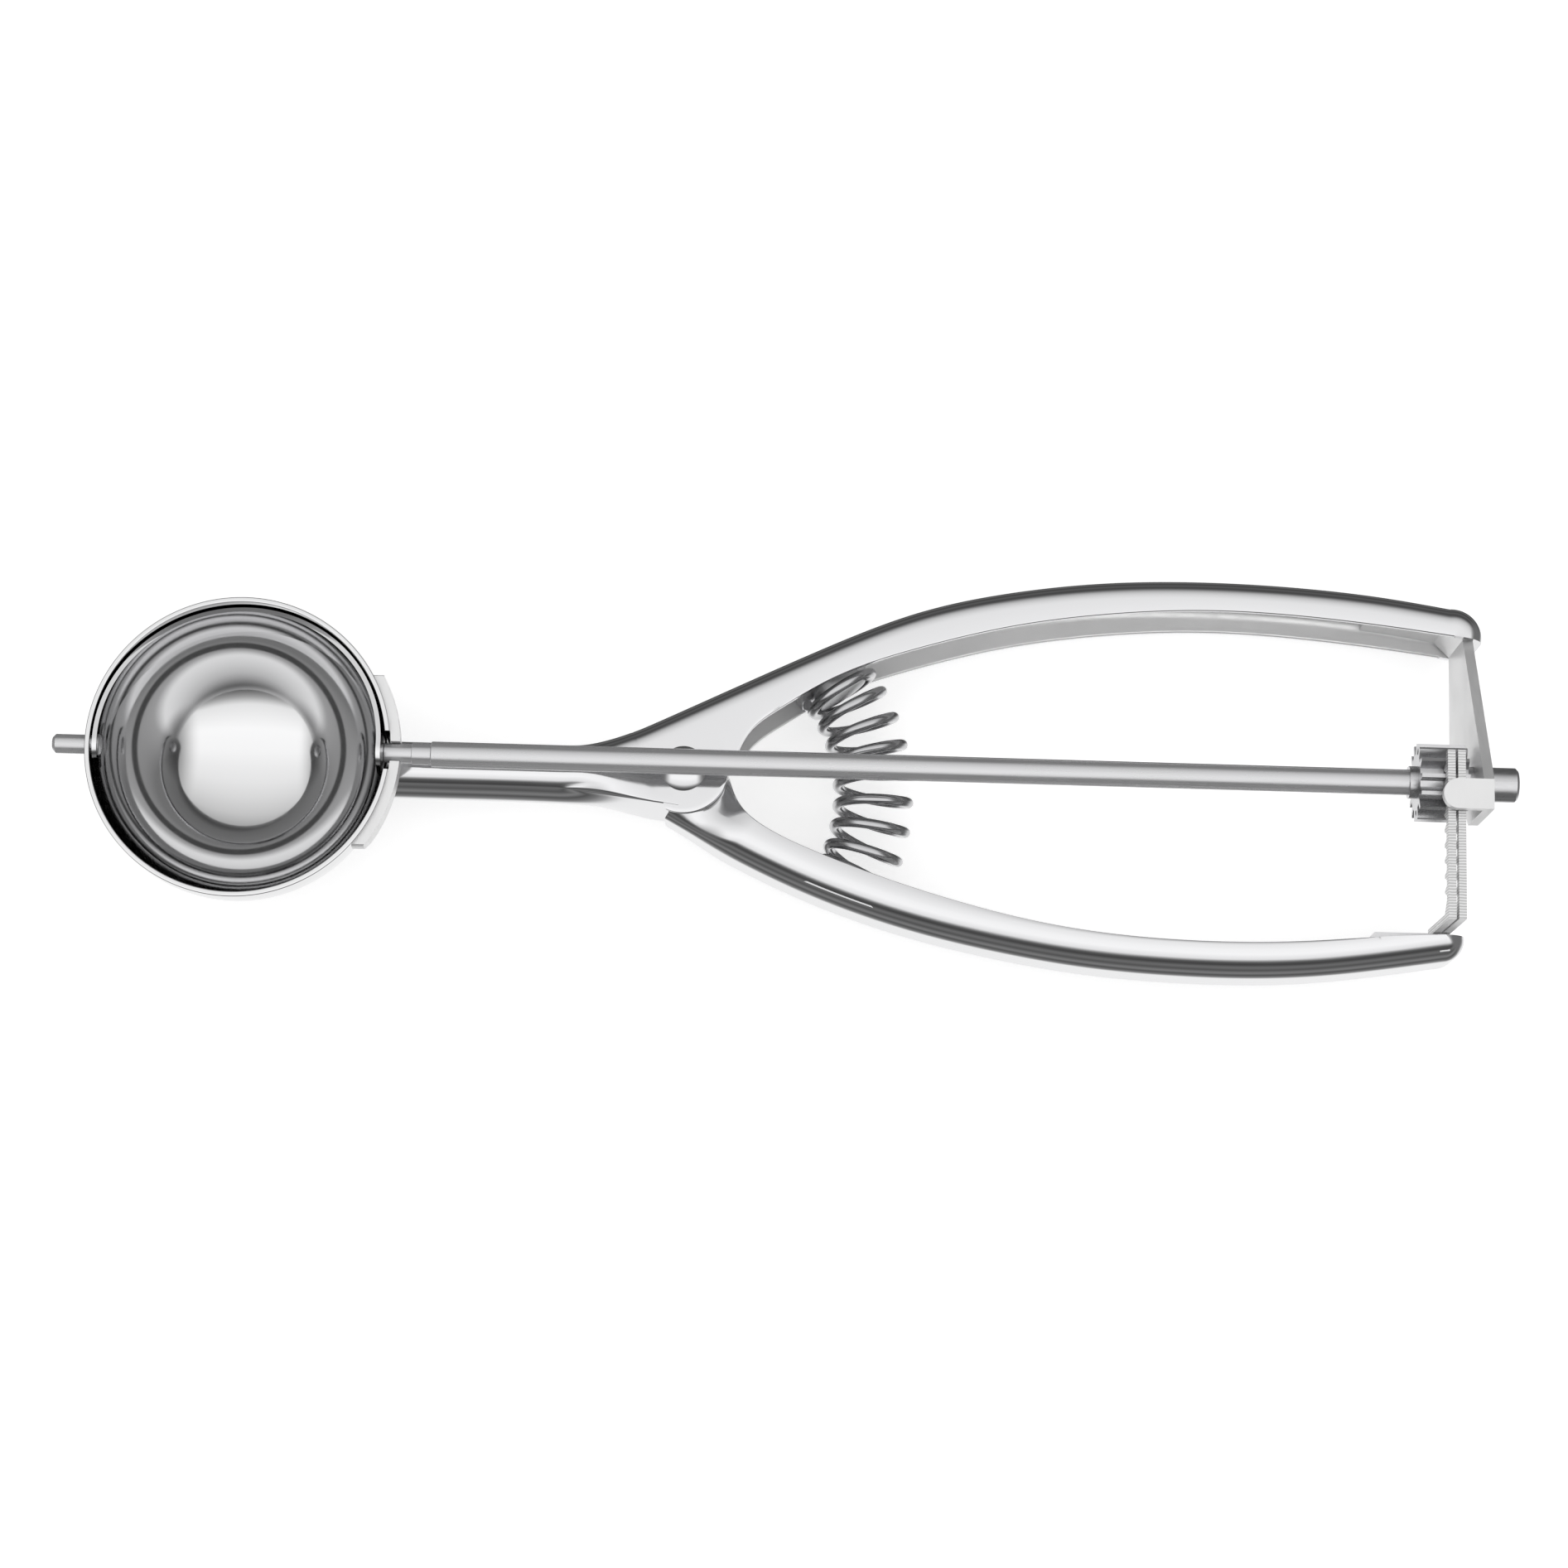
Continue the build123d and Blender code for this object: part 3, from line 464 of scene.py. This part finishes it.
def channelGrid(back, edge, h):
    # the folded sheet's section at each station: depth runs from the back towards the edge line, and across is the
    # distance from the middle plane; outer skin, rounded rim, inner skin and rim again make one closed loop
    wall, turn, flat = sectionHalf()
    reach = edge - back
    deep = np.linalg.norm(reach, axis=1)[:, None]
    soft = h["rimRound"]
    skins = []
    for inset in (0.0, h["sheet"]):
        r = h["corner"] - inset
        half = halfWidth - inset
        arcDepth = inset + r * (1 - np.sin(turn)) + 0 * deep
        wallDepth = h["corner"] + np.maximum(deep - h["corner"], 0) * wall
        depth = np.minimum(np.where(turn > 0, arcDepth, wallDepth), deep)
        over = np.clip(depth - inset, 0, r)
        across = half - r + np.sqrt(np.maximum(r ** 2 - (r - over) ** 2, 0))
        across = across - h["crown"] * wall ** 2
        across = np.where(flat > 0, (half - r) * (1 - flat), across)
        inwards = soft if inset == 0 else -soft
        rimDepth = depth[:, :1] - soft * np.array([0, h["rimMiddle"], 1])
        rimAcross = across[:, :1] - inwards * np.array([1, h["rimMiddle"], 0])
        skins.append((np.concatenate([rimDepth, depth[:, 1:]], axis=1),
                      np.concatenate([rimAcross, across[:, 1:]], axis=1)))
    (outerDepth, outerAcross), (innerDepth, innerAcross) = skins
    depth = np.concatenate([outerDepth, outerDepth[:, -2::-1], innerDepth, innerDepth[:, -2::-1]], axis=1)
    across = np.concatenate([outerAcross, -outerAcross[:, -2::-1], -innerAcross, innerAcross[:, -2::-1]],
                            axis=1)
    grid = np.empty((*depth.shape, 3))
    grid[..., :2] = back[:, None] + (reach / deep)[:, None] * depth[..., None]
    grid[..., 2] = middleZ + across
    return grid


def shankRing(deep, weight, inset, h, flatSteps=7, turnSteps=14, wallSteps=8):
    # a closed section at each station: an oval of the tube's width (weight 0) turns into a rounded box as wide as
    # the channel (weight 1), whose lower corners tighten on the way; both are followed at the same share of the
    # outline
    r, half = h["corner"] - inset / 2, halfWidth - inset
    tight = r * (1 - h["tightened"] * weight)
    quarter = np.linspace(0, math.pi / 2, turnSteps)
    rise = np.linspace(0, 1, wallSteps + 2)[1:-1]
    flat = np.linspace(0, 1, flatSteps + 1)[:-1]
    low, high = deep - inset, inset
    ones = np.ones_like(deep)
    depth = np.concatenate([low * np.ones(flatSteps), low - tight * (1 - np.cos(quarter)),
                            (low - tight) + (high + r - low + tight) * rise,
                            high + r * (1 - np.sin(quarter)) * ones, high * np.ones(flatSteps) * ones], axis=1)
    across = np.concatenate([(half - tight) * flat, half - tight + tight * np.sin(quarter),
                             half * ones * np.ones(wallSteps), (half - r + r * np.cos(quarter)) * ones,
                             (half - r) * (1 - flat - flat[1]) * ones], axis=1)
    travel = np.concatenate([[0], np.cumsum(np.hypot(np.diff(depth[-1]), np.diff(across[-1])))])
    swing = math.pi * (1 - travel / travel[-1])
    ovalDepth = inset + (deep / 2 - inset) * (1 - np.cos(swing))
    ovalAcross = (h["tubeHalfWidth"] - inset) * np.sin(swing)
    depth = depth * weight + ovalDepth * (1 - weight)
    across = across * weight + ovalAcross * (1 - weight)
    return (np.concatenate([depth, depth[:, -2:0:-1]], axis=1),
            np.concatenate([across, -across[:, -2:0:-1]], axis=1))


def innerFaces(rows, cols):
    # marks the faces of the inner half of the loop; the end strips are not marked
    columns = np.arange(cols)
    marked = (columns >= cols // 2) & (columns < cols - 1)
    return np.concatenate([np.tile(marked, rows - 1), np.zeros(2 * (cols // 2 - 1), bool)])


def channelFaces(rows, cols):
    # the loop's skin, and at both ends a strip between the outer half of the loop and the inner half
    half = cols // 2
    k = np.arange(half - 1)
    cap = np.stack([k, k + 1, cols - 2 - k, cols - 1 - k], -1)
    return np.concatenate([gridFaces(rows, cols, wrapCols=True), cap, cap + (rows - 1) * cols])


def backLine(f):
    # the outline of the handle's back, from its front and round the tip, with its stations evenly spread
    tip = arcThrough(f["back"][-1], f["bulge"], f["tip"], handleSteps["tip"])
    line = np.concatenate([smoothCurve(f["back"], handleSteps["back"]), tip[1:]])
    return evenly(line, handleSteps["stations"])


def inwardOf(back, side):
    # the normal of the back's line at each station; side is 1 or -1, for the one that points into the channel
    run = np.gradient(back, axis=0)
    run /= np.linalg.norm(run, axis=1)[:, None]
    return side * np.stack([run[:, 1], -run[:, 0]], -1)


def shankGrid(back, belly, h):
    # the outer ring and the inner ring of each station, both carried from the saddle to just inside the channel,
    # where they are tucked a hair's breadth under its skin
    inward = inwardOf(back, 1)
    edge = depthLine(back, inward, belly, 0)
    deep = np.linalg.norm(edge - back, axis=1)[:, None]
    weight = ease(back[:, :1], h["tubeEnd"], h["channelStart"])
    hide = h["tuck"] * (back[:, :1] > h["channelStart"])
    rings = []
    for inset in (0.0, h["sheet"]):
        depth, across = shankRing(deep - hide * 2, weight, inset, h)
        grid = np.empty((*depth.shape, 3))
        grid[..., :2] = back[:, None] + ((edge - back) / deep)[:, None] * (depth + hide)[..., None]
        grid[..., 2] = middleZ + across * (1 - hide / halfWidth)
        # the front follows the saddle: x is stretched from the saddle's sphere to where this fades out
        front = back[0, 0]
        sphere = np.sqrt(np.maximum(h["saddle"] ** 2 - grid[..., 1] ** 2 - grid[..., 2] ** 2, 0))
        share = np.clip((grid[..., 0] - front) / (h["saddleFade"] - front), 0, 1)
        grid[..., 0] += (sphere - front) * (1 - share)
        rings.append(grid)
    return np.concatenate([rings[0], rings[1][::-1]])


h = handleShape
back = backLine(fixedShape)
shankBack = back[back[:, 0] < h["shankEnd"]]
points = shankGrid(shankBack, smoothCurve(fixedShape["belly"], handleSteps["belly"]), h)
makePiece("fixed_handle_shank", points, gridFaces(*points.shape[:2], wrapRows=True, wrapCols=True), "frame",
          look["polished"], ["fixed_handle"])
back = back[back[:, 0] > h["channelStart"] - h["channelLap"]]
edge = depthLine(back, inwardOf(back, 1), fixedEdgePath(fixedShape, h), fixedShape["hold"])
points = channelGrid(back, edge, h)
makePiece("fixed_handle_sheet", points, channelFaces(*points.shape[:2]), "frame",
          look["polished"], ["fixed_handle"], inside=innerFaces(*points.shape[:2]))

back = backLine(leverShape)
edge = depthLine(back, inwardOf(back, -1), leverEdgePath(leverShape, h), leverShape["hold"])
points = channelGrid(back, edge, dict(h, corner=h["leverCorner"]))
# near the pivot the walls step in by one sheet, so that they run between the other handle's walls
fromPivot = np.hypot(points[..., 0] - h["pivotX"], points[..., 1])
step = (h["sheet"] + h["earGap"]) * (1 - ease(fromPivot, *h["joggle"]))
points[..., 2] = middleZ + (points[..., 2] - middleZ) * (1 - step / halfWidth)
makePiece("lever_handle_sheet", points, channelFaces(*points.shape[:2]), "lever",
          look["polished"], ["lever_handle"], inside=innerFaces(*points.shape[:2]))


def earProfile(h):
    # (height, radius) round a flat ring with a hole for the rivet, its rim a little rounded
    low, high = halfWidth - 2 * h["sheet"] - h["earGap"], halfWidth - h["sheet"] - h["earGap"]
    ring = roundCorners([(low, h["earHole"]), (low, h["leverEar"]), (high, h["leverEar"]), (high, h["earHole"])],
                        h["earRound"])
    return np.concatenate([ring, ring[:1]])


for side, name in ((1, "lever_ear_near"), (-1, "lever_ear_far")):
    points, faces = turned(earProfile(h) * np.array([side, 1]), (h["pivotX"], 0, middleZ), "z",
                           handleSteps["earAround"])
    makePiece(name, points, faces, "lever", look["polished"], ["lever_handle"])
print("handles made")

rivetShape = dict(radius=2.0, head=3.65, headHeight=1.3, domeSteps=24, around=96)


def rivetProfile(r):
    # (height, radius): a dome of the head's width and height at each end of the shank
    ball = (r["head"] ** 2 + r["headHeight"] ** 2) / (2 * r["headHeight"])
    swing = np.linspace(0, math.asin(r["head"] / ball), r["domeSteps"])
    dome = np.stack([r["headHeight"] - ball * (1 - np.cos(swing)), ball * np.sin(swing)], -1)
    foot = np.array([(0, r["head"]), (0, r["radius"])])
    upper = np.concatenate([dome, foot]) + np.array([halfWidth, 0])
    return np.concatenate([upper, upper[::-1] * np.array([-1, 1])])


points, faces = turned(rivetProfile(rivetShape), (h["pivotX"], 0, middleZ), "z", rivetShape["around"])
makePiece("rivet_domed", points, faces, "frame", look["polished"], ["pivot_rivet"])

springShape = dict(wire=0.85, coil=5.75, upperArc=29.2, lowerArc=31.9, upper=34.9, lower=-32.8, turns=9.5,
                   play=0.25, closed=0.35, closedUntil=0.6, steps=48, around=20)


def springLine(s):
    # the coil's centre runs on an arc round the pivot while the wire turns about it; pitch is 1 in the open turns
    # and less over the first turns at both ends, which lie closer
    steps = round(s["turns"] * s["steps"])
    fromEnd = np.minimum(np.arange(steps) + 0.5, steps - np.arange(steps) - 0.5) / s["steps"]
    pitch = np.clip(s["closed"] + fromEnd - s["closedUntil"], s["closed"], 1.0)
    share = np.concatenate([[0], np.cumsum(pitch)]) / pitch.sum()
    room = s["wire"] + s["play"]
    low = s["lower"] + math.degrees(room / s["lowerArc"])
    high = s["upper"] - math.degrees(room / s["upperArc"])
    angle = np.radians(low + (high - low) * share)
    turn = 2 * math.pi * np.arange(steps + 1) / s["steps"]
    radius = s["lowerArc"] + (s["upperArc"] - s["lowerArc"]) * share + s["coil"] * np.cos(turn)
    line = np.stack([handleShape["pivotX"] + radius * np.cos(angle), radius * np.sin(angle),
                     middleZ - s["coil"] * np.sin(turn)], -1)
    outwards = np.stack([np.cos(turn) * np.cos(angle), np.cos(turn) * np.sin(angle), -np.sin(turn)], -1)
    return line, outwards


def tube(line, outwards, radius, count):
    # a round section carried along the line; its first axis is the outward direction made square to the line
    run = np.gradient(line, axis=0)
    run /= np.linalg.norm(run, axis=1)[:, None]
    first = outwards - (outwards * run).sum(1)[:, None] * run
    first /= np.linalg.norm(first, axis=1)[:, None]
    second = np.cross(run, first)
    a = np.linspace(0, 2 * math.pi, count, endpoint=False)
    ring = np.cos(a)[None, :, None] * first[:, None] + np.sin(a)[None, :, None] * second[:, None]
    return line[:, None] + radius * ring


line, outwards = springLine(springShape)
points = tube(line, outwards, springShape["wire"], springShape["around"])
rows, cols = points.shape[:2]
faces = [list(f) for f in gridFaces(rows, cols, wrapCols=True)]
faces += [list(range(cols)), list(range((rows - 1) * cols, rows * cols))]
spring = makePiece("spring_coil", points, faces, None, look["spring"])
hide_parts("return_spring")
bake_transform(spring)
print("spring made")

bpy.context.scene.view_settings.view_transform = "Standard"
floorShape = dict(size=6000, height=-24.25, paper=0.8, roughness=0.9, glow=0.62)


def floorSheet(name, f):
    # a glowing sheet of paper; the studio's own light from below takes its place in reflections
    paper = bpy.data.materials.new("floor_paper")
    paper.use_nodes = True
    shader = paper.node_tree.nodes["Principled BSDF"]
    shader.inputs["Base Color"].default_value = grey(f["paper"])
    shader.inputs["Roughness"].default_value = f["roughness"]
    shader.inputs["Emission Color"].default_value = grey(1)
    shader.inputs["Emission Strength"].default_value = f["glow"]
    half = f["size"] / 2
    corners = [(x, y, f["height"]) for x, y in ((-half, -half), (half, -half), (half, half), (-half, half))]
    sheet = makePiece(name, corners, [(0, 1, 2, 3)], None, paper)
    sheet.visible_glossy = False


floorSheet("floor", floorShape)

cameraView = dict(target=(86.677, -3.161, 0), tilt=11.3, roll=1.65, distance=591.75, lens=85.58, sensor=36,
                  clip=0.01)
tilt, roll = math.radians(cameraView["tilt"]), math.radians(cameraView["roll"])
backwards = Vector((0, -math.sin(tilt), math.cos(tilt)))
upright = Vector((0, math.cos(tilt), math.sin(tilt)))
right = math.cos(roll) * Vector((1, 0, 0)) + math.sin(roll) * upright
up = -math.sin(roll) * Vector((1, 0, 0)) + math.cos(roll) * upright
cameraPlace = Vector(cameraView["target"]) + cameraView["distance"] * backwards

# brightness by the angle round the x axis, from 0 straight up to 90 towards the fixed handle's side
studioStops = [(-180, 0.95), (-163, 0.95), (-152, 0.38), (-142, 0.20), (-128, 0.10), (-114, 0.24), (-98, 0.10),
               (-84, 0.18), (-70, 0.06), (-60, 0.12), (-54, 0.40), (-48, 0.92), (-28, 1.14), (-10, 1.10), (4, 1.0),
               (15, 0.94), (28, 0.82), (42, 0.66), (52, 0.46), (59, 0.28), (66, 0.12), (76, 0.07), (92, 0.12),
               (108, 0.06), (126, 0.16), (140, 0.08), (150, 0.14), (157, 0.40), (165, 0.95), (180, 0.95)]
# how far the lever's side is dark to light that has been reflected more than once, by the same angle
deepStops = [(-180, 0), (-78, 0), (-66, 0.88), (-24, 0.84), (-2, 0.60), (8, 0), (180, 0)]
deepShade = dict(value=0.05, afterReflections=1.5)
endShade = dict(start=0.62, full=0.93, value=0.18)
lensSpot = dict(inner=4.8, outer=7.4, value=0.07)


def rampOf(tree, stops):
    # greys by an angle from -180 to 180, which the ramp takes as 0 to 1
    made = addNode(tree, "ShaderNodeValToRGB")
    while len(made.color_ramp.elements) < len(stops):
        made.color_ramp.elements.new(0.5)
    for element, (angle, value) in zip(made.color_ramp.elements, stops):
        element.position = (angle + 180) / 360
        element.color = grey(value)
    return made


def lightStudio(world):
    # the ramp round the x axis darkens towards both ends of the tool; light that has been reflected more than once
    # also sees the deep ramp and a dark lens that stands over the table; rays from the camera see plain white
    world.use_nodes = True
    tree = world.node_tree
    link = tree.links.new
    place = addNode(tree, "ShaderNodeTexCoord")
    split = addNode(tree, "ShaderNodeSeparateXYZ")
    aroundX = addNode(tree, "ShaderNodeMath", operation="ARCTAN2")
    spread = addNode(tree, "ShaderNodeMapRange", {"From Min": -math.pi, "From Max": math.pi})
    ramp, deepRamp = rampOf(tree, studioStops), rampOf(tree, deepStops)
    link(place.outputs["Generated"], split.inputs["Vector"])
    link(split.outputs["Y"], aroundX.inputs[0])
    link(split.outputs["Z"], aroundX.inputs[1])
    link(aroundX.outputs["Value"], spread.inputs["Value"])
    link(spread.outputs["Result"], ramp.inputs["Fac"])
    link(spread.outputs["Result"], deepRamp.inputs["Fac"])

    sideways = addNode(tree, "ShaderNodeMath", operation="ABSOLUTE")
    ends = addNode(tree, "ShaderNodeMapRange", {"From Min": endShade["start"], "From Max": endShade["full"]},
                   interpolation_type="SMOOTHSTEP")
    withEnds = addNode(tree, "ShaderNodeMixRGB", {"Color2": grey(endShade["value"])})
    link(split.outputs["X"], sideways.inputs[0])
    link(sideways.outputs["Value"], ends.inputs["Value"])
    link(ends.outputs["Result"], withEnds.inputs["Fac"])
    link(ramp.outputs["Color"], withEnds.inputs["Color1"])

    path = addNode(tree, "ShaderNodeLightPath")
    again = addNode(tree, "ShaderNodeMath", {1: deepShade["afterReflections"]}, operation="GREATER_THAN")
    deepShare = addNode(tree, "ShaderNodeMath", operation="MULTIPLY")
    withDeep = addNode(tree, "ShaderNodeMixRGB", {"Color2": grey(deepShade["value"])})
    link(path.outputs["Glossy Depth"], again.inputs[0])
    link(deepRamp.outputs["Color"], deepShare.inputs[0])
    link(again.outputs["Value"], deepShare.inputs[1])
    link(deepShare.outputs["Value"], withDeep.inputs["Fac"])
    link(withEnds.outputs["Color"], withDeep.inputs["Color1"])

    lens = addNode(tree, "ShaderNodeVectorMath", {1: cameraPlace.normalized()}, operation="DOT_PRODUCT")
    lensEdge = addNode(tree, "ShaderNodeMapRange", {"From Min": math.cos(math.radians(lensSpot["outer"])),
                                                    "From Max": math.cos(math.radians(lensSpot["inner"]))},
                       interpolation_type="SMOOTHSTEP")
    lensShare = addNode(tree, "ShaderNodeMath", operation="MULTIPLY")
    withLens = addNode(tree, "ShaderNodeMixRGB", {"Color2": grey(lensSpot["value"])})
    link(place.outputs["Generated"], lens.inputs[0])
    link(lens.outputs["Value"], lensEdge.inputs["Value"])
    link(lensEdge.outputs["Result"], lensShare.inputs[0])
    link(again.outputs["Value"], lensShare.inputs[1])
    link(lensShare.outputs["Value"], withLens.inputs["Fac"])
    link(withDeep.outputs["Color"], withLens.inputs["Color1"])

    background = tree.nodes["Background"]
    plain = addNode(tree, "ShaderNodeBackground", {"Color": grey(1)})
    seen = addNode(tree, "ShaderNodeMixShader")
    link(withLens.outputs["Color"], background.inputs["Color"])
    link(path.outputs["Is Camera Ray"], seen.inputs["Fac"])
    link(background.outputs["Background"], seen.inputs[1])
    link(plain.outputs["Background"], seen.inputs[2])
    link(seen.outputs["Shader"], tree.nodes["World Output"].inputs["Surface"])


bpy.context.scene.world = bpy.data.worlds.new("studio")
lightStudio(bpy.context.scene.world)

camera = bpy.data.objects.new("camera", bpy.data.cameras.new("camera"))
bpy.context.scene.collection.objects.link(camera)
camera.data.lens = cameraView["lens"]
camera.data.sensor_width = cameraView["sensor"]
camera.data.clip_start = cameraView["clip"]
facing = Matrix((right, up, backwards)).transposed().to_4x4()
camera.matrix_world = Matrix.Translation(cameraPlace * mm) @ facing
bpy.context.scene.camera = camera
print("studio made")
